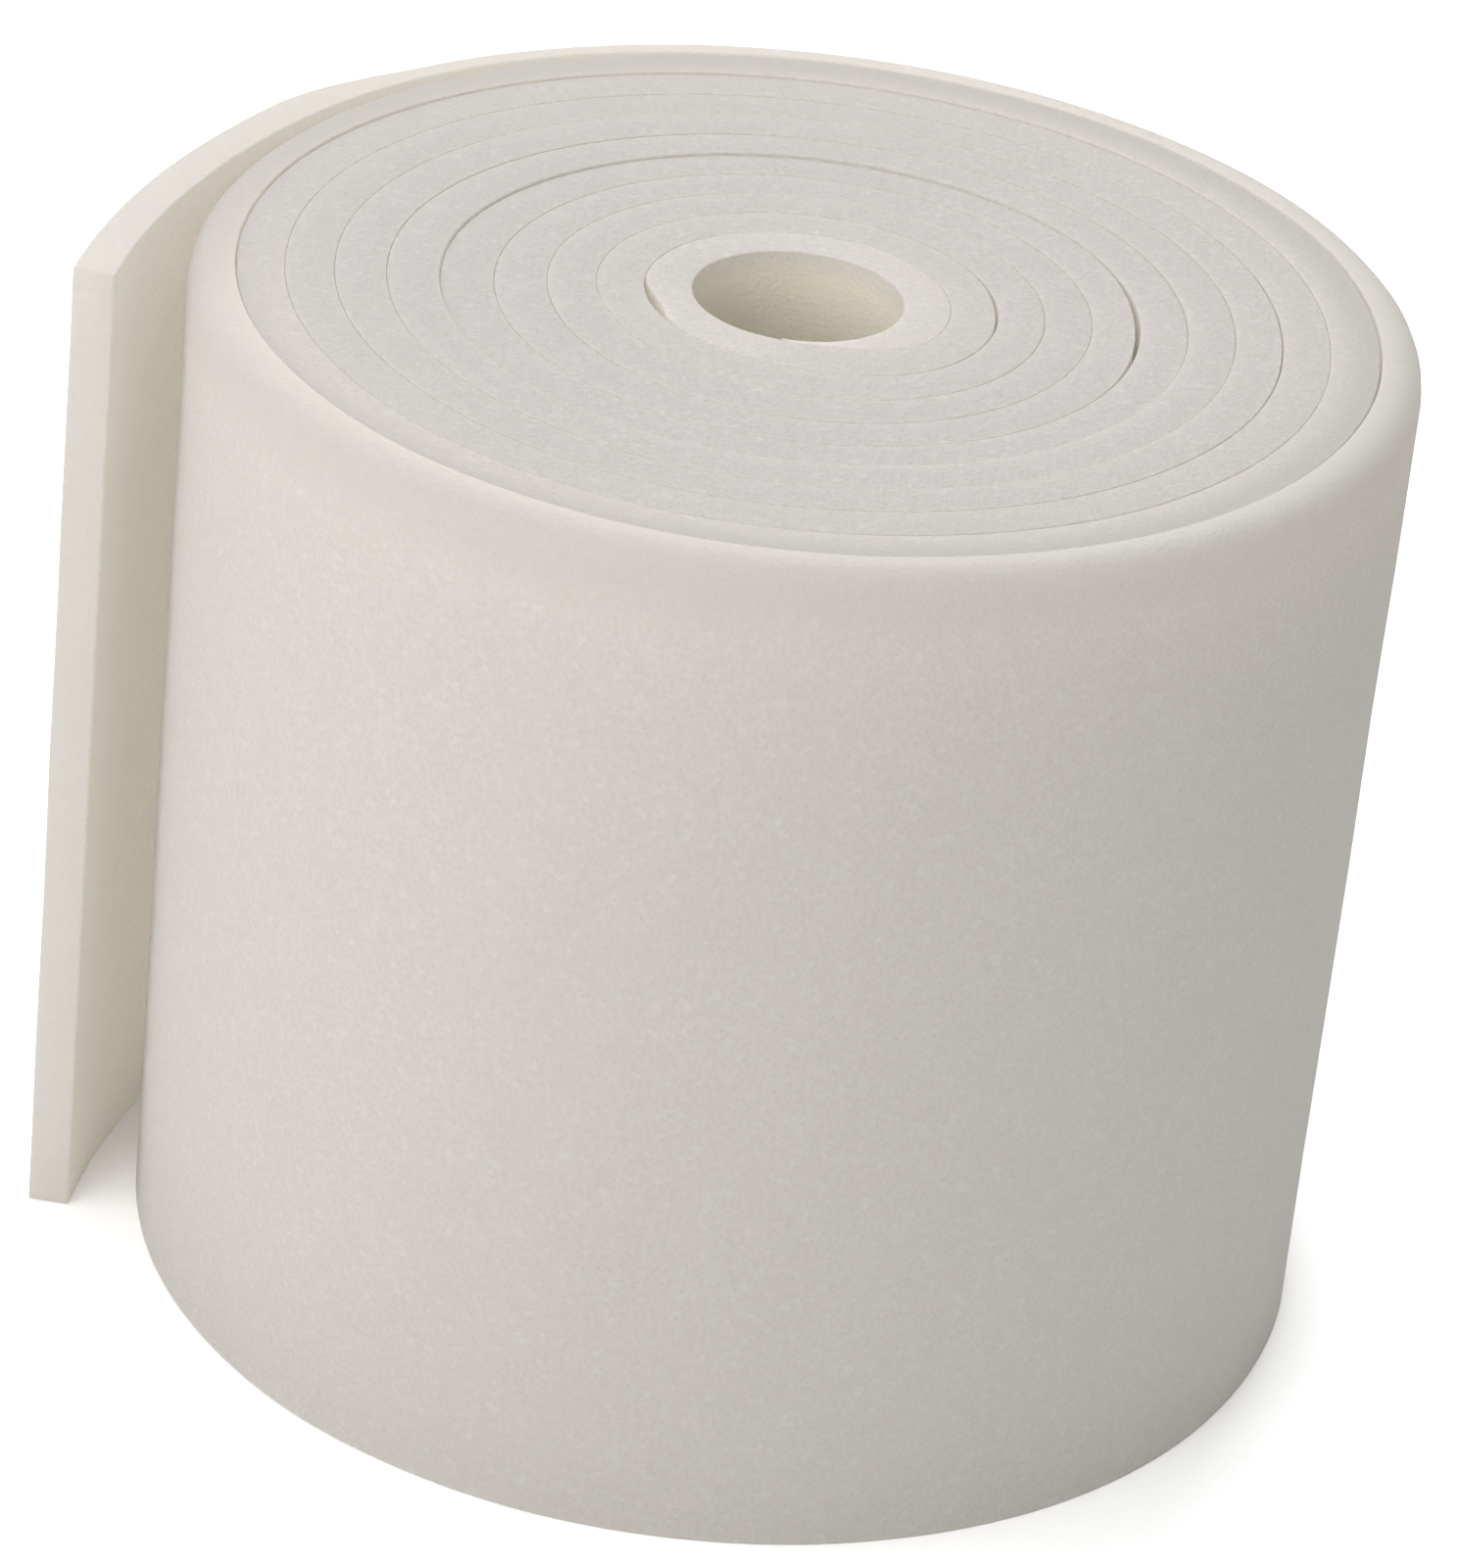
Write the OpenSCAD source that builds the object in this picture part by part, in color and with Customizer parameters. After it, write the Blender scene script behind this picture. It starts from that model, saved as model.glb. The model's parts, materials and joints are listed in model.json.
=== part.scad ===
// Roll of soft foam padding strip, wound round an open core and standing on end.
// The axis of the roll is Z and the roll stands on z = 0. Seen from above, the
// strip runs anticlockwise as it winds outwards. Every turn starts at one seam
// plane. Each turn is a round arc that then climbs by one pitch, so that it ends
// exactly where the next turn starts. Half a turn more, the outer wrap, is the
// stretch that peels off. The free tail leaves it in its tangent and is curled less
// than the roll, so that it stands off.

/* [Strip] */
// Width of the strip, which is the height of the roll
strip_w = 100; // [40:1:160]
// Thickness of the foam
strip_t = 4; // [2:0.1:6]

/* [Roll] */
// Diameter of the open core that the strip is wound round
core_d = 20; // [16:0.5:60]
// Number of full turns below the outer wrap
turns = 10; // [4:1:16]
// Air gap between one turn and the next
turn_gap = 0.4; // [0.2:0.05:0.6]
// Direction of the seam plane, seen from above
seam_angle = -30; // [-180:5:180]
// Half of the angle in which the innermost turn climbs to the second one
core_climb = 40; // [32:1:42]

/* [Outer wrap] */
// Number of segments in the half turn that peels off
wrap_segments = 6; // [4:1:9]

/* [Tail] */
// Number of segments in the free tail
tail_segments = 4; // [2:1:6]
// Length of one segment along the inside of the tail
tail_step = 10.7; // [6:0.1:20]
// Radius to which the tail is still curled, at its inner face
tail_curl_r = 100; // [80:5:400]
// Largest angle that a tail segment closes towards the roll
tail_close = 3.6; // [1:0.1:12]
// Largest angle that a tail segment opens away from the roll
tail_open = 21; // [5:1:40]

/* [Hidden] */
$fn = 180;
foam_colour = [0.86, 0.84, 0.80];

// One pitch is the thickness of the foam and the air gap beside it.
pitch = strip_t + turn_gap;
core_r = core_d / 2;

// The outer wrap climbs through its whole turn, which is the most there is.
wrap_climb = 180;
wrap_sweep = 180;
wrap_step = wrap_sweep / wrap_segments;

// The middle arc of a turn is thinner by this much at both faces, and it runs into
// the arcs beside it by this angle, so that the three arcs are one solid.
arc_slim = 0.05;
arc_lap = 1.5;
// Largest angle between two corners of a pie slice.
slice_corner = 60;
// Slit between the end of one piece of the strip and the start of the next.
slit = 0.05;
// How far a cutting shape reaches past the foam that it cuts.
cut_margin = 1;
// Angle that stays open between two tail segments at the end of their travel.
relief_margin = 0.5;

// Unit direction at an angle, seen from above.
function dir(angle) = [cos(angle), sin(angle)];

// Inner radius at which turn k leaves the seam plane.
function turn_r(k) = core_r + (k - 1) * pitch;

// Half of the angle in which turn k climbs: small at the core, so that the core
// stays a round hole, and growing evenly outwards.
function climb_half(k) = core_climb + (wrap_climb - core_climb) * (k - 1) / turns;

// A climb is two arcs that meet in one tangent. This is how far the centre of
// each lies from the axis of the roll.
function climb_offset(half) = pitch / (2 * (1 - cos(half)));

// Angle that the slit takes at a radius.
function slit_angle(r) = slit / r * 180 / PI;

// The outer wrap is the first arc of the next turn.
wrap_offset = climb_offset(wrap_climb);
wrap_centre = -wrap_offset * dir(seam_angle);
wrap_r = turn_r(turns + 1) + wrap_offset;

// The tail leaves the outer wrap in its tangent.
tail_start = seam_angle + wrap_sweep;
tail_angle = tail_step / tail_curl_r * 180 / PI;
tail_centre = wrap_centre + (wrap_r - tail_curl_r) * dir(tail_start);

function two_digits(k) = k < 10 ? str("0", k) : str(k);
function turn_name(k) = str("turn_", two_digits(k));
function wrap_name(k) = str("outer_wrap_", k);
function tail_name(k) = str("tail_", k);

// A pie slice between two angles, larger than anything that it cuts.
module slice(radius, from, to) {
    corners = ceil((to - from) / slice_corner);
    polygon(concat(
        [[0, 0]],
        [for (i = [0:corners]) 2 * radius * dir(from + (to - from) * i / corners)]
    ));
}

// The outline of a stretch of the strip along an arc round a centre, from above.
module arc_band(centre, inner_r, from, to, slim = 0) {
    translate(centre)
    intersection() {
        difference() {
            circle(r = inner_r + strip_t - slim);
            circle(r = inner_r + slim);
        }
        slice(inner_r + strip_t, from, to);
    }
}

// Turn k, counted from the core: one round arc and the two arcs of its climb.
module turn(k) {
    half = climb_half(k);
    offset = climb_offset(half);
    climb_from = seam_angle - 2 * half;
    bend = seam_angle - half;
    color(foam_colour)
    linear_extrude(strip_w)
    union() {
        arc_band([0, 0], turn_r(k), seam_angle + slit_angle(turn_r(k)), climb_from + 360);
        arc_band(
            -offset * dir(climb_from), turn_r(k) + offset,
            climb_from - arc_lap, bend + arc_lap, slim = arc_slim
        );
        arc_band(offset * dir(seam_angle), turn_r(k + 1) - offset, bend, seam_angle);
    }
}

// Segment k of the half turn that peels off, counted along the strip.
module wrap_segment(k) {
    from = seam_angle + (k - 1) * wrap_step;
    color(foam_colour)
    linear_extrude(strip_w)
    arc_band(wrap_centre, wrap_r, from + slit_angle(wrap_r), from + wrap_step);
}

// Room at the start of a tail segment, so that it can turn both ways about the
// middle of its thickness.
module turning_room() {
    reach = strip_t;
    polygon([
        [-reach, -cut_margin],
        [-reach, slit + reach * tan(tail_close + relief_margin)],
        [0, slit],
        [reach, slit + reach * tan(tail_open + relief_margin)],
        [reach, -cut_margin]
    ]);
}

// Segment k of the free tail, counted from the roll outwards.
module tail_segment(k) {
    from = tail_start + (k - 1) * tail_angle;
    hinge = tail_centre + (tail_curl_r + strip_t / 2) * dir(from);
    color(foam_colour)
    linear_extrude(strip_w)
    difference() {
        arc_band(tail_centre, tail_curl_r, from, from + tail_angle);
        translate(hinge) rotate(from) turning_room();
    }
}

for (k = [1:turns])
    turn(k);
for (k = [1:wrap_segments])
    wrap_segment(k);
for (k = [1:tail_segments])
    tail_segment(k);
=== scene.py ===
# %% [markdown]
# # A roll of foam padding strip
#
# The real object is one long strip of soft, off-white polyurethane foam, as wide as
# the roll is high. It is wound up round an open core and stood on end, and its last
# few centimetres stand off as a free tail.
#
# The CAD model holds that strip as separate turns, outer wrap segments and tail
# segments, so that it can move. Here the whole strip is drawn again as one soft,
# unbroken ribbon: every piece below is a length of it, and the pieces meet edge to
# edge. Nothing is placed by eye, because the ribbon follows the CAD winding.

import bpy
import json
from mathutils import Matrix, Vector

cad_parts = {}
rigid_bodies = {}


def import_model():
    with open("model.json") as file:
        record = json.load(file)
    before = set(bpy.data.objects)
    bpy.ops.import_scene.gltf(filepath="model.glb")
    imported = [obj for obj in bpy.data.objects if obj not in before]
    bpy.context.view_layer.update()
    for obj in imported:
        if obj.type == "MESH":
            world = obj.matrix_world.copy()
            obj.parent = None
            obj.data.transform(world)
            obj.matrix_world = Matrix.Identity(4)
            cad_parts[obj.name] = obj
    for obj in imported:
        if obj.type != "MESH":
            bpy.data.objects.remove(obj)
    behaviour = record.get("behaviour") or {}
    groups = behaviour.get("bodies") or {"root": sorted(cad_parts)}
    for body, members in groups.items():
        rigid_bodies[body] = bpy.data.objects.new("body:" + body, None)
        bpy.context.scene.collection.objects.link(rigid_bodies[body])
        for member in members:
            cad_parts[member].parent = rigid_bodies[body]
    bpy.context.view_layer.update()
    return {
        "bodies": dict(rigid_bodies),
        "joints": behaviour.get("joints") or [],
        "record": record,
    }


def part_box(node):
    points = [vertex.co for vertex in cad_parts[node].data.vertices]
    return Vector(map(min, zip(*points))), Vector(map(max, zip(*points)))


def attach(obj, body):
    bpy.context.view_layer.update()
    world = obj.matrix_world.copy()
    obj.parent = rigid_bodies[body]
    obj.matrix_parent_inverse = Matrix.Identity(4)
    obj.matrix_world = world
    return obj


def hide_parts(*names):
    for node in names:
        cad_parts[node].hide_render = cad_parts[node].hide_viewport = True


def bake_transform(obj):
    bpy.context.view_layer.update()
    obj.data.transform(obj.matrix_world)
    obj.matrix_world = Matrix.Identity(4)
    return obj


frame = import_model()

# %% Libraries
import json
import math

import bpy
import numpy as np
from mathutils import Matrix, Vector, noise

# %% [markdown]
# ## The winding
#
# A roll could be drawn as an Archimedean spiral, whose radius grows all the time. The
# CAD model uses arcs instead: each turn starts at one seam plane as a round arc, and
# two more arcs, tangent to each other, lift it by one pitch. Arcs are what a joint or
# a spindle can rely on, so the ribbon follows the very same ones.
#
# A place along the strip is given by its travel: the degrees that it has been wound
# since it left the seam plane at the core. Travel goes on growing through the outer
# wrap and the tail, so one number is enough to say where anything is.

# %% Sizes of the strip and of its winding, in millimetres and degrees
MM = 0.001
low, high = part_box("turn_10")
strip_width = (high.z - low.z) / MM
bore = next(m for m in frame["record"]["mounts"] if m["name"] == "core_bore")
core_radius = bore["dims"]["r_mm"]
turns = sum(name.startswith("turn_") for name in frame["bodies"])
wraps = sum(name.startswith("outer_wrap_") for name in frame["bodies"])
tails = sum(name.startswith("tail_") for name in frame["bodies"])

thickness = 4.0
turn_gap = 0.4
pitch = thickness + turn_gap
seam_angle = -30.0
core_climb = 40.0
wrap_sweep = 180.0
tail_step = 10.7
tail_curl = 100.0

wrap_start = 360.0 * turns
wrap_end = wrap_start + wrap_sweep
wrap_step = wrap_sweep / wraps
tail_angle = math.degrees(tail_step / tail_curl)
strip_end = wrap_end + tails * tail_angle
print(f"strip {strip_width:.1f} wide, {turns} turns, {wraps} wraps, {tails} tail steps")


# %% From travel to a point in space
def unit(angle):
    """Level direction at an angle, anticlockwise from +X."""
    return np.array([math.cos(math.radians(angle)), math.sin(math.radians(angle))])


def winding_arc(travel):
    """Centre and inner radius of the arc that the wound strip follows at this travel."""
    lap = min(int(travel // 360), turns)
    into = travel - 360 * lap
    inner = core_radius + lap * pitch
    half = core_climb + (180 - core_climb) * lap / turns
    offset = pitch / (2 * (1 - math.cos(math.radians(half))))
    if into < 360 - 2 * half:
        return np.zeros(2), inner
    if into < 360 - half or lap == turns:
        return -offset * unit(seam_angle - 2 * half), inner + offset
    return offset * unit(seam_angle), inner + pitch - offset


def strip_arc(travel):
    """The same for any place on the strip: past the outer wrap it is the tail's arc."""
    if travel < 0:
        return np.zeros(2), core_radius
    if travel <= wrap_end:
        return winding_arc(travel)
    centre, inner = winding_arc(wrap_end)
    return centre + (inner - tail_curl) * unit(seam_angle + wrap_end), tail_curl


def strip_point(travel, depth, height):
    """Point in millimetres, depth being counted from the inner face of the foam."""
    centre, inner = strip_arc(travel)
    x, y = centre + (inner + depth) * unit(seam_angle + travel)
    return Vector((x, y, height))


# %% Check the winding against the CAD hinges
hinges = {j["name"]: j["pos_m"] for j in frame["joints"] if j["type"] == "hinge"}
for name, travel, depth in [
    ("outer_wrap_1_peel", wrap_start, thickness),
    ("tail_4_curl", wrap_end + 3 * tail_angle, thickness / 2),
]:
    away = (strip_point(travel, depth, 0) * MM - Vector(hinges[name])).length
    print(f"{name} lies {away / MM:.4f} mm from the ribbon's own place for it")

# %% [markdown]
# ## What the foam does that steel would not
#
# Soft foam fills the air between its turns, so every turn of the ribbon reaches out
# to a hair under the next one and is a little thicker than the CAD strip. Where the
# winding went slack a crescent of air stays open. The turns are never level either:
# twice on the way out the strip slipped a little upwards, which leaves the middle of
# the roll as a shallow dish.
#
# The two cut edges are rounded by handling. The outermost edge has the most of it,
# and the inner ones come and go along the strip, so that the lines between the turns
# fade in and out. All of this is geometry, because it makes its own shadows.

# %% Softness of the strip, in millimetres
swell = 0.19
ripple_height = 0.12
ripple_length = 18.0
foot_height = 0.1
wander_height = 0.07
edge_radius = 0.14
edge_radius_drift = 0.1
rim_radius = 2.6

# Where the winding is slack: turn, direction, half width in degrees, air.
slack_places = [
    (1, 199, 24, 0.8),
    (2, 6, 30, 0.25),
    (5, 3, 32, 0.45),
    (8, 6, 36, 0.15),
    (9, 176, 60, 0.1),
]
# Where the strip slipped upwards: after how many turns, and how far.
slips = [(5.0, 0.3), (9.0, 0.25)]
slip_length = 0.3
dish = sum(rise for after, rise in slips)
# The beginning of the strip is squeezed into the wedge under the first climb, and ends
# a few degrees before the wedge would pinch it to nothing.
blunt_tip = 14.0
taper = 2 * core_climb - blunt_tip
# Air that is left where two turns touch.
touch_air = 0.02
# How far on along the strip the next turn is looked for, in degrees, and how closely.
search = (315, 405)
halvings = 20
# Degrees over which the foam changes where it comes to lie bare or peels off. A lead
# is how long before the outer wrap the change begins.
peel_fade = 30
bare_fade = 60
ripple_lead = 180
ripple_fade = 40
rim_lead = 250
rim_growth = 90
rim_end = 20


def smooth(x):
    """0 below 0, 1 above 1 and an S curve in between."""
    x = min(max(x, 0.0), 1.0)
    return x * x * (3 - 2 * x)


def slack(travel):
    """Air outside the strip at this travel."""
    air = 0.0
    for turn, direction, reach, depth in slack_places:
        middle = 360 * (turn - 1) + (direction - seam_angle) % 360
        air += depth * smooth(1 - abs(travel - middle) / reach)
    return air


def to_next_turn(travel):
    """From the inner face of the strip straight out to the inner face of the next turn.

    The place on the next turn is found by halving the stretch that it must lie in.
    """
    start = strip_point(travel, -swell, 0)
    out = Vector((*unit(seam_angle + travel), 0))
    before, after = travel + search[0], travel + search[1]
    for _ in range(halvings):
        middle = (before + after) / 2
        away = strip_point(middle, -swell, 0) - start
        if out.cross(away).z > 0:
            after = middle
        else:
            before = middle
    return away.length


def inner_face(travel):
    """Depth of the inner face: it swells inwards, but not where the strip peels off."""
    return -swell * smooth((wrap_start - wrap_step / 2 - travel) / peel_fade)


def outer_face(travel):
    """Depth of the outer face: a hair under the next turn, or its own where it is bare."""
    if travel + 360 > wrap_end:
        swollen = smooth((wrap_end - 360 + bare_fade - travel) / bare_fade)
        return thickness + swell * swollen - slack(travel)
    return to_next_turn(travel) - swell - touch_air - slack(travel)


def drift(travel, length, row):
    """A smooth random number from -1 to 1 along the strip, another one for each row."""
    return noise.noise(Vector((travel / length, row, 0)))


def upper_edge(travel):
    """Height of the upper cut edge."""
    rise = sum(r * smooth((travel / 360 - after) / slip_length) for after, r in slips)
    return strip_width - dish + rise + wander_height * drift(travel, 75, 2.5)


def lower_edge(travel):
    """Height of the lower cut edge, which the roll stands on."""
    return foot_height * (1 + drift(travel, 60, 8.5))


def edge_round(travel):
    """Rounding of the edges between two turns: it comes and goes."""
    return edge_radius + edge_radius_drift * drift(travel, 110, 5.5)


def rim_round(travel):
    """Rounding of the upper outer edge: most where nothing lies outside it."""
    grown = smooth((travel - (wrap_start - rim_lead)) / rim_growth)
    bare = grown * smooth((wrap_end - travel) / rim_end)
    return edge_round(travel) + rim_radius * bare


print("dish", round(dish, 2), "mm deep, foam", thickness + 2 * swell, "mm thick")

# %% [markdown]
# ## A length of the ribbon
#
# A strip could be a curve with a bevel, but then its section would stay the same all
# along. Here the section is worked out anew at every station and the stations are
# joined by four-sided faces. The section is a rounded oblong whose upper edge bulges
# a little, since foam has no truly flat face.
#
# Two lengths that meet share the same last section, and a second station sits a hair
# away from it, so that the shading runs on across the join.

# %% The section of the strip
corner_steps = 5
face_rows = 12
crown = 0.06
least_round = 0.02


def corner(across, up, radius, start, stop):
    """Points of a rounded corner in the section, as (depth, height)."""
    angles = np.radians(np.linspace(start, stop, corner_steps + 1))
    return [(across + radius * math.cos(a), up + radius * math.sin(a)) for a in angles]


def rows(depth, bottom, top):
    """Points up one face of the strip, between its corners."""
    heights = np.linspace(bottom, top, face_rows + 1)[1:-1]
    return [(depth, h) for h in heights]


def section(travel, shrink=0.0):
    """Outline of the strip: up the outer face from the foot and down the inner one."""
    inner, outer = inner_face(travel) + shrink, outer_face(travel) - shrink
    bottom, top = lower_edge(travel) + shrink, upper_edge(travel) - shrink
    middle, half = (inner + outer) / 2, (outer - inner) / 2
    edge = max(min(edge_round(travel), half / 2) - shrink, least_round)
    rim = max(min(rim_round(travel), 1.5 * half) - shrink, least_round)
    # The ridge is where the two upper corners meet, and the outline is split there.
    ridge = (inner + edge + outer - rim) / 2
    up = [(middle, bottom)]
    up += corner(outer - edge, bottom + edge, edge, -90, 0)
    up += rows(outer, bottom + edge, top - rim)
    up += corner(outer - rim, top - rim, rim, 0, 90)
    down = [(ridge, top)]
    down += corner(inner + edge, top - edge, edge, 90, 180)
    down += rows(inner, top - edge, bottom + edge)
    down += corner(inner + edge, bottom + edge, edge, 180, 270)
    outline = []
    for depth, height in up + down:
        bulge = 1 - ((depth - middle) / half) ** 2
        lift = crown * bulge if height > (bottom + top) / 2 else 0
        outline.append((depth, height + lift))
    return outline


# %% The stations of a length and the mesh over them
station_step = 2.0
hair = 0.12
end_round = 0.35
sharp_from = 50.0


def stations(start, stop):
    """Travels at which the section is worked out, from start to stop."""
    count = max(2, math.ceil((stop - start) / station_step))
    return [start, start + hair, *np.linspace(start, stop, count + 1)[1:-1], stop - hair, stop]


def cut_end(travel, direction):
    """Stations of a cut end, as (travel, shrink): its corners are rounded as well."""
    size = min(end_round, (outer_face(travel) - inner_face(travel)) / 4)
    degrees = math.degrees(size / strip_arc(travel)[1])
    angles = np.radians([90, 60, 30, 0])
    return [
        (travel - direction * degrees * (1 - math.sin(a)), size * (1 - math.cos(a)))
        for a in angles
    ]


def ripple(point, travel, depth):
    """Unevenness of a face. Two turns that slide along each other have it upright."""
    bare = smooth((travel - wrap_start + ripple_lead) / ripple_fade)
    bare = bare * smooth(2 * depth / thickness)
    upright = noise.noise(Vector((point.x, point.y, 0)) / ripple_length)
    free = noise.noise(point / ripple_length)
    return ripple_height * (upright + bare * (free - upright))


def ribbon(name, start, stop, cut_start=False, cut_stop=False):
    """A length of the strip from one travel to another, as a new object."""
    along = [(t, 0.0) for t in stations(start, stop)]
    if cut_start:
        along = cut_end(start, -1) + along[2:]
    if cut_stop:
        along = along[:-2] + cut_end(stop, 1)[::-1]
    points, faces = [], []
    for travel, shrink in along:
        direction = unit(seam_angle + travel)
        for depth, height in section(travel, shrink):
            point = strip_point(travel, depth, height)
            point.xy += Vector(direction * ripple(point, travel, depth))
            points.append(point * MM)
    size = len(points) // len(along)
    for ring in range(len(along) - 1):
        for i in range(size):
            j = (i + 1) % size
            a, b = ring * size, (ring + 1) * size
            faces.append((a + i, b + i, b + j, a + j))
    if cut_start:
        faces += cap(0, size, False)
    if cut_stop:
        faces += cap(len(points) - size, size, True)
    mesh = bpy.data.meshes.new(name)
    mesh.from_pydata(points, [], faces)
    mesh.shade_smooth()
    mesh.set_sharp_from_angle(angle=math.radians(sharp_from))
    rest = mesh.attributes.new("rest", "FLOAT_VECTOR", "POINT")
    rest.data.foreach_set("vector", np.array(points, np.float32).ravel())
    made = bpy.data.objects.new(name, mesh)
    bpy.context.scene.collection.objects.link(made)
    return made


def cap(first, size, outwards):
    """Faces that close a cut end: rungs from the outer face across to the inner one."""
    half = size // 2
    faces = []
    for i in range(half):
        left = [first + i, first + i + 1]
        right = [first + (size - i) % size, first + size - i - 1]
        face = [left[0], left[1], right[1], right[0]]
        face = list(dict.fromkeys(face))
        if len(face) > 2:
            faces.append(tuple(face[::-1] if outwards else face))
    return faces


print("points in a section:", len(section(0.0)))

# %% [markdown]
# ## Open-cell polyurethane foam
#
# The strip is split and slit from a block of open-cell polyurethane foam. The knife
# leaves no skin: the surface is a field of cut cells, half a millimetre across, with
# pale walls and shaded hollows. To the eye that is a dull, soft white with a very fine
# grain, a few cell walls that catch the light, and a warm glow in the deep places,
# where light goes from wall to wall.
#
# The cells could be modelled, but there are more than a million of them and they
# would only blur. They are a Voronoi pattern instead, at their real size, which drives
# colour, roughness and bump. The pattern is tied to where each point lay when the
# strip was at rest, so it doesn't swim when the strip bends. Thin foam also lets light
# through, so half of the shader is a translucent one.
#
# The white isn't the same everywhere. The wall of the core has a painted glow, a paler
# cream that stands in for the light that goes from wall to wall in the hole. The upper
# rim and the tail have painted shade, a little grey that tones down how bright they are.

# %% Colours and nodes
def colour(code):
    """An sRGB hex colour as the linear RGBA that a shader wants."""
    parts = [int(code[i : i + 2], 16) / 255 for i in (1, 3, 5)]
    linear = [c / 12.92 if c <= 0.04045 else ((c + 0.055) / 1.055) ** 2.4 for c in parts]
    return (*linear, 1.0)


def add_node(tree, kind, inputs=None, **settings):
    """Adds a node with its settings; an input is a number, a colour or a link."""
    made = tree.nodes.new(kind)
    for name, value in settings.items():
        setattr(made, name, value)
    for name, value in (inputs or {}).items():
        if isinstance(value, bpy.types.NodeSocket):
            tree.links.new(value, made.inputs[name])
        else:
            made.inputs[name].default_value = value
    return made


def new_material(name):
    """An empty material with its tree and its output node."""
    made = bpy.data.materials.new(name)
    made.use_nodes = True
    made.node_tree.nodes.clear()
    return made, made.node_tree, made.node_tree.nodes.new("ShaderNodeOutputMaterial")


# %% The foam
cell_mm = 0.5
strut_mm = 0.22
blotch_mm = 28.0
through_share = 0.5
# The painted glow on the wall of the core: how deep it goes, and how far down it fades in.
painted_glow_depth = (0.2, 0.6)
painted_glow_drop = (0.2, 2.5)
# The painted shade on the upper rim, as a height under the upper edge and as a radius,
# and on the tail.
painted_rim_shade_drop = (0.5, 8.0)
painted_rim_shade_band = (49.0, 54.0)
painted_tail_shade_band = (57.0, 61.0)
painted_tail_shade = 0.8

foam, tree, out = new_material("open_cell_polyurethane_foam")
rest = add_node(tree, "ShaderNodeAttribute", attribute_name="rest").outputs["Vector"]
cells = add_node(
    tree,
    "ShaderNodeTexVoronoi",
    {"Vector": rest, "Scale": 1 / (cell_mm * MM), "Randomness": 1.0},
)
struts = add_node(
    tree,
    "ShaderNodeTexNoise",
    {"Vector": rest, "Scale": 1 / (strut_mm * MM), "Detail": 2.0, "Roughness": 0.6},
)
blotches = add_node(
    tree,
    "ShaderNodeTexNoise",
    {"Vector": rest, "Scale": 1 / (blotch_mm * MM), "Detail": 3.0, "Roughness": 0.5},
)
# Where a cell wall is: the Voronoi distance grows from the hollow to the wall.
wall = add_node(
    tree,
    "ShaderNodeMapRange",
    {"Value": cells.outputs["Distance"], "From Min": 0.1, "From Max": 0.75},
    interpolation_type="SMOOTHSTEP",
).outputs["Result"]
# The foam's own white, in slow blotches, and the darker hollows of the cells.
tone = add_node(
    tree,
    "ShaderNodeMix",
    {0: blotches.outputs["Fac"], 6: colour("#dad8d8"), 7: colour("#dfdddd")},
    data_type="RGBA",
).outputs[2]
shaded = add_node(
    tree,
    "ShaderNodeMix",
    {0: wall, 6: colour("#d4d1d0"), 7: tone},
    data_type="RGBA",
).outputs[2]
# One cell in a dozen gets a painted glint: a paler colour for a cell wall that would
# face the light and glint.
painted_glint = add_node(
    tree,
    "ShaderNodeSeparateColor",
    {"Color": cells.outputs["Color"]},
).outputs["Red"]
painted_glint = add_node(
    tree,
    "ShaderNodeMapRange",
    {"Value": painted_glint, "From Min": 0.9, "From Max": 0.98, "To Max": 0.6},
).outputs["Result"]
# Painted glint: those cells are mixed towards a paler white.
bright = add_node(
    tree,
    "ShaderNodeMix",
    {0: painted_glint, 6: shaded, 7: colour("#e9e8e8")},
    data_type="RGBA",
).outputs[2]
# The painted glow lies on the wall of the core: all that lies inside its radius and under
# the upper edge, in a paler, warmer cream for light that goes from wall to wall.
level = add_node(
    tree, "ShaderNodeVectorMath", {0: rest, 1: (1.0, 1.0, 0.0)}, operation="MULTIPLY"
).outputs["Vector"]
radius = add_node(
    tree, "ShaderNodeVectorMath", {0: level}, operation="LENGTH"
).outputs["Value"]
painted_glow = add_node(
    tree,
    "ShaderNodeMapRange",
    {
        "Value": radius,
        "From Min": (core_radius + painted_glow_depth[1]) * MM,
        "From Max": (core_radius + painted_glow_depth[0]) * MM,
    },
).outputs["Result"]
height = add_node(tree, "ShaderNodeSeparateXYZ", {"Vector": rest}).outputs["Z"]
painted_glow = add_node(
    tree,
    "ShaderNodeMapRange",
    {
        "Value": height,
        "From Min": (strip_width - dish - painted_glow_drop[0]) * MM,
        "From Max": (strip_width - dish - painted_glow_drop[1]) * MM,
        "To Max": painted_glow,
    },
).outputs["Result"]
# Painted glow: the wall of the core is mixed towards a pale, warm cream.
foam_colour = add_node(
    tree,
    "ShaderNodeMix",
    {0: painted_glow, 6: bright, 7: colour("#fdf9ea")},
    data_type="RGBA",
).outputs[2]
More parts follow.
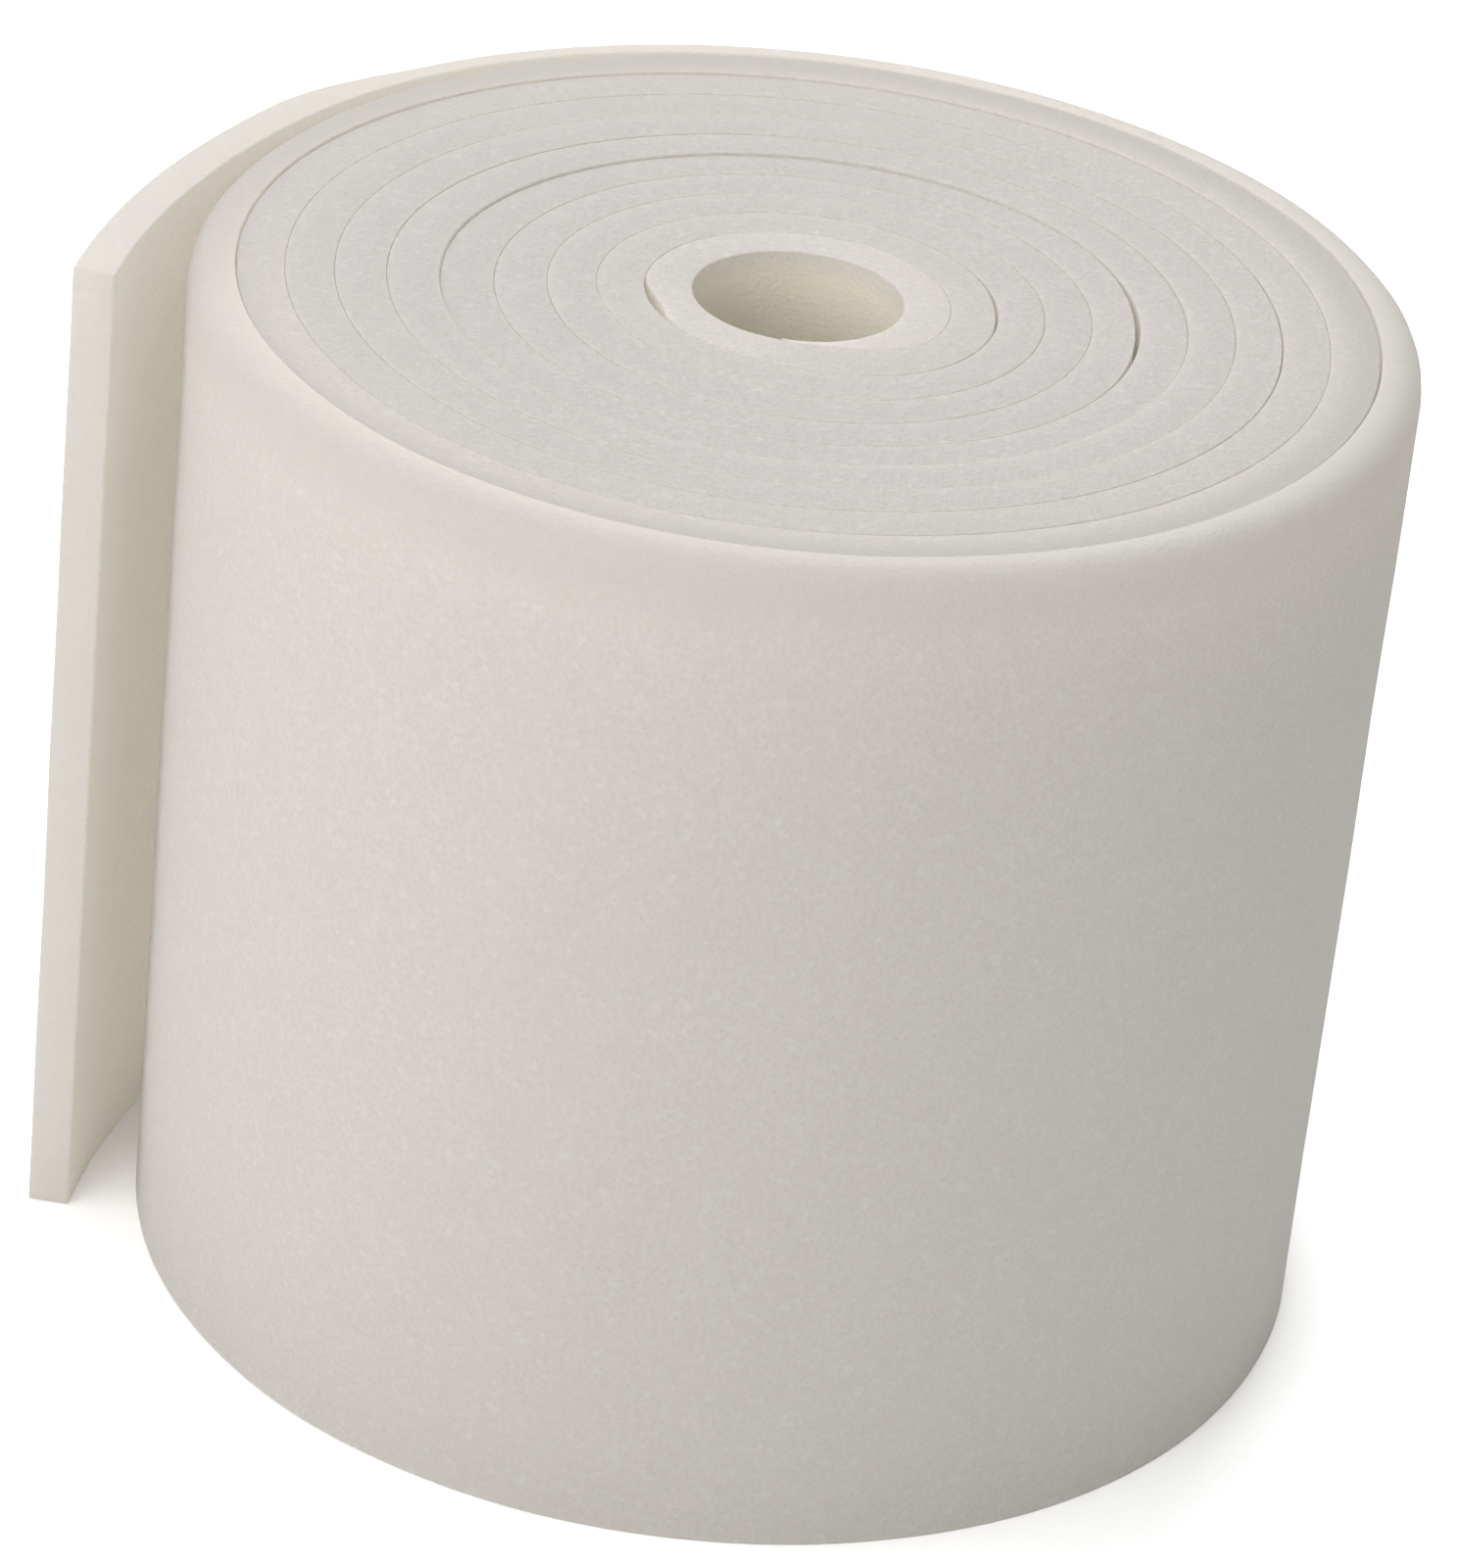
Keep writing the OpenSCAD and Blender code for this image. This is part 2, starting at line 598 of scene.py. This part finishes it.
# The upper rim and the tail get painted shade: a greyer colour that tones down the
# highlight on the rounded rim and the light that shows through the thin tail.
rim = add_node(
    tree,
    "ShaderNodeMapRange",
    {
        "Value": height,
        "From Min": (strip_width - painted_rim_shade_drop[1]) * MM,
        "From Max": (strip_width - painted_rim_shade_drop[0]) * MM,
    },
    interpolation_type="SMOOTHSTEP",
).outputs["Result"]
rim = add_node(
    tree,
    "ShaderNodeMapRange",
    {
        "Value": radius,
        "From Min": painted_rim_shade_band[0] * MM,
        "From Max": painted_rim_shade_band[1] * MM,
        "To Max": rim,
    },
    interpolation_type="SMOOTHSTEP",
).outputs["Result"]
tail = add_node(
    tree,
    "ShaderNodeMapRange",
    {
        "Value": radius,
        "From Min": painted_tail_shade_band[0] * MM,
        "From Max": painted_tail_shade_band[1] * MM,
        "To Max": painted_tail_shade,
    },
    interpolation_type="SMOOTHSTEP",
).outputs["Result"]
painted_shade = add_node(
    tree, "ShaderNodeMath", {0: rim, 1: tail}, operation="MAXIMUM"
).outputs["Value"]
# Painted shade: the upper rim and the tail are mixed towards grey.
foam_colour = add_node(
    tree,
    "ShaderNodeMix",
    {0: painted_shade, 6: foam_colour, 7: colour("#c8c7c8")},
    data_type="RGBA",
).outputs[2]
dullness = add_node(
    tree,
    "ShaderNodeMapRange",
    {"Value": wall, "To Min": 1.0, "To Max": 0.84},
).outputs["Result"]
relief = add_node(
    tree,
    "ShaderNodeMath",
    {0: struts.outputs["Fac"], 1: 0.5, 2: cells.outputs["Distance"]},
    operation="MULTIPLY_ADD",
).outputs["Value"]
bump = add_node(
    tree,
    "ShaderNodeBump",
    {"Height": relief, "Strength": 0.35, "Distance": 0.25 * MM},
).outputs["Normal"]
shader = add_node(
    tree,
    "ShaderNodeBsdfPrincipled",
    {
        "Base Color": foam_colour,
        "Roughness": dullness,
        "Normal": bump,
        "IOR": 1.5,
        "Specular IOR Level": 0.25,
        "Sheen Weight": 0.1,
        "Sheen Roughness": 0.6,
    },
)
through = add_node(
    tree,
    "ShaderNodeBsdfTranslucent",
    {"Color": colour("#faf5ea"), "Normal": bump},
)
mixed = add_node(
    tree,
    "ShaderNodeMixShader",
    {"Fac": through_share, 1: shader.outputs["BSDF"], 2: through.outputs["BSDF"]},
)
tree.links.new(mixed.outputs["Shader"], out.inputs["Surface"])
print("foam material has", len(tree.nodes), "nodes")

# %% [markdown]
# ## The turns under the outer wrap
#
# The turns slide along each other when the core is pushed out, and the roll becomes a
# cone. On the real roll that is a slow shear all along the strip. Here the first half
# of each turn rides on its CAD turn, and the second half is drawn at rest and is not
# attached to any body.

# %% The turns
def dress(piece, node):
    """What every length of foam needs besides its body."""
    piece.data.materials.append(foam)
    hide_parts(node)
    return piece


def turn_name(k):
    """Name of CAD turn k, counted from the core."""
    return f"turn_{k:02d}"


for k in range(1, turns):
    start = 360.0 * (k - 1)
    level = ribbon(f"foam_{turn_name(k)}", start - taper * (k == 1), start + 180, k == 1)
    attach(dress(level, turn_name(k)), turn_name(k))
    slope = dress(ribbon(f"foam_{turn_name(k)}_slope", start + 180, start + 360), turn_name(k))
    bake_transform(slope)

last_turn = turn_name(turns)
wrap_half = wrap_step / 2
root = ribbon(f"foam_{last_turn}", wrap_start - 360, wrap_start - wrap_half)
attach(dress(root, last_turn), last_turn)
print("turns done:", len(bpy.data.meshes), "meshes so far")

# %% [markdown]
# ## The outer wrap and the tail
#
# The last half turn can be peeled off and the tail stands free. The CAD model bends
# them at hinges. Foam has no hinges, so each length here runs from the middle of one
# CAD segment to the middle of the next, and is drawn where the strip lies at rest.

# %% The outer wrap and the tail
# How long before its hinge the foam begins to turn, in degrees.
peel_lead = 0.45 * wrap_half
# The turning begins and ends this far inside a length, in millimetres.
end_margin = 0.1


def bend(node, start, stop, turn_from):
    """A length of the strip for this CAD body, drawn at rest and left unattached."""
    piece = dress(ribbon(f"foam_{node}", start, stop), node)
    first = strip_point(turn_from, thickness / 2, 0)
    last = strip_point(stop, thickness / 2, 0)
    # The end sections lean against the chord, by this much over the strip's thickness.
    lean = math.sin(math.radians((stop - start) / 2)) * (thickness / 2 + 2 * swell)
    chord = (last - first).normalized()
    inset = chord * (lean + end_margin)
    first, last = first + inset, last - inset
    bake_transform(piece)


before = last_turn
for k in range(1, wraps + 1):
    node = f"outer_wrap_{k}"
    hinge = wrap_start + (k - 1) * wrap_step
    bend(node, hinge - wrap_half, hinge + wrap_half, hinge - peel_lead)
    before = node

# The same length of foam on both sides of the first tail hinge, in degrees of wrap.
tail_half = math.degrees(tail_step / 2 / (strip_arc(wrap_end)[1] + thickness / 2))
flat = ribbon("foam_outer_wrap_end", wrap_end - wrap_half, wrap_end - tail_half)
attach(dress(flat, before), before)
start = wrap_end - tail_half
for k in range(1, tails + 1):
    node = f"tail_{k}"
    stop = wrap_end + (k - 0.5) * tail_angle
    bend(node, start, stop, start)
    before = node
    start = stop
tip = ribbon("foam_tail_end", start, strip_end, cut_stop=True)
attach(dress(tip, before), before)

# %% [markdown]
# ## The studio
#
# The roll stands on a sheet of matt white paper that is lit so strongly that it burns
# out to white. Six square soft boxes stand round it. The key and the front box are in
# front on the left and shape the side, helped by a low one far to the left. The back
# box is the strongest: it whitens the paper and brushes over the rim. One box lights
# the top, and a weak one on the right keeps that side in a gentle shade instead of a
# dark one. A white room fills what is left.

# %% Floor
floor_size = 3.0
paper, tree, out = new_material("matt_white_paper")
place = add_node(tree, "ShaderNodeTexCoord").outputs["Object"]
fibres = add_node(
    tree,
    "ShaderNodeTexNoise",
    {"Vector": place, "Scale": 900.0, "Detail": 2.0},
).outputs["Fac"]
tint = add_node(
    tree,
    "ShaderNodeMix",
    {0: fibres, 6: colour("#fafafa"), 7: colour("#ffffff")},
    data_type="RGBA",
).outputs[2]
shader = add_node(
    tree,
    "ShaderNodeBsdfPrincipled",
    {"Base Color": tint, "Roughness": 0.9, "Specular IOR Level": 0.1},
)
tree.links.new(shader.outputs["BSDF"], out.inputs["Surface"])
mesh = bpy.data.meshes.new("floor")
corners = [(-1, -1, 0), (1, -1, 0), (1, 1, 0), (-1, 1, 0)]
mesh.from_pydata([Vector(c) * floor_size / 2 for c in corners], [], [(0, 1, 2, 3)])
mesh.materials.append(paper)
floor = bpy.data.objects.new("floor", mesh)
bpy.context.scene.collection.objects.link(floor)
print("floor", floor_size, "m square")

# %% Lights
middle = Vector((0, 0, strip_width / 2)) * MM


def soft_box(name, azimuth, elevation, distance, size, power):
    """A square area light that faces the middle of the roll. Azimuth 0 is the front."""
    data = bpy.data.lights.new(name, "AREA")
    data.size = size
    data.energy = power
    lamp = bpy.data.objects.new(name, data)
    bpy.context.scene.collection.objects.link(lamp)
    a, e = math.radians(azimuth), math.radians(elevation)
    away = Vector((math.sin(a) * math.cos(e), -math.cos(a) * math.cos(e), math.sin(e)))
    lamp.location = middle + away * distance
    lamp.rotation_euler = (-away).to_track_quat("-Z", "Y").to_euler()
    return lamp


# Name, azimuth, elevation, distance and size in metres, power in watts.
soft_box("key", -60, 35, 1.2, 0.8, 4.0)
soft_box("low left", -90, 10, 1.2, 0.6, 2.6)
soft_box("front", -20, 35, 1.2, 0.8, 4.8)
soft_box("right", 110, 35, 1.2, 0.8, 0.8)
soft_box("back", 180, 35, 1.2, 0.8, 12.0)
soft_box("top", 0, 80, 1.3, 0.9, 8.5)

print("soft boxes:", len(bpy.data.lights))

room_light = 0.31
world = bpy.data.worlds.new("white_room")
world.use_nodes = True
world.node_tree.nodes["Background"].inputs["Color"].default_value = colour("#ffffff")
world.node_tree.nodes["Background"].inputs["Strength"].default_value = room_light
bpy.context.scene.world = world
bpy.context.scene.view_settings.view_transform = "Standard"

# %% [markdown]
# ## The camera
#
# A long lens looks down on the roll from a little over half a metre. The camera is
# tilted sideways by a few degrees, so that the roll leans to the left in the frame.

# %% Camera
camera_elevation = 28.48
camera_distance = 628.8
camera_roll = 5.97
focal_length = 150.77
aim = Vector((-1.6, -0.96, 48.24)) * MM

data = bpy.data.cameras.new("camera")
data.lens = focal_length
data.sensor_width = 36.0
data.sensor_fit = "AUTO"
camera = bpy.data.objects.new("camera", data)
bpy.context.scene.collection.objects.link(camera)
e = math.radians(camera_elevation)
place = middle + Vector((0, -math.cos(e), math.sin(e))) * camera_distance * MM
forward = (aim - place).normalized()
level = forward.cross(Vector((0, 0, 1))).normalized()
upright = level.cross(forward)
tilt = math.radians(camera_roll)
right = level * math.cos(tilt) + upright * math.sin(tilt)
turn = Matrix((right, right.cross(forward), -forward)).transposed().to_4x4()
camera.matrix_world = Matrix.Translation(place) @ turn
bpy.context.scene.camera = camera
print("camera at", [round(x, 3) for x in place], "with a lens of", focal_length, "mm")
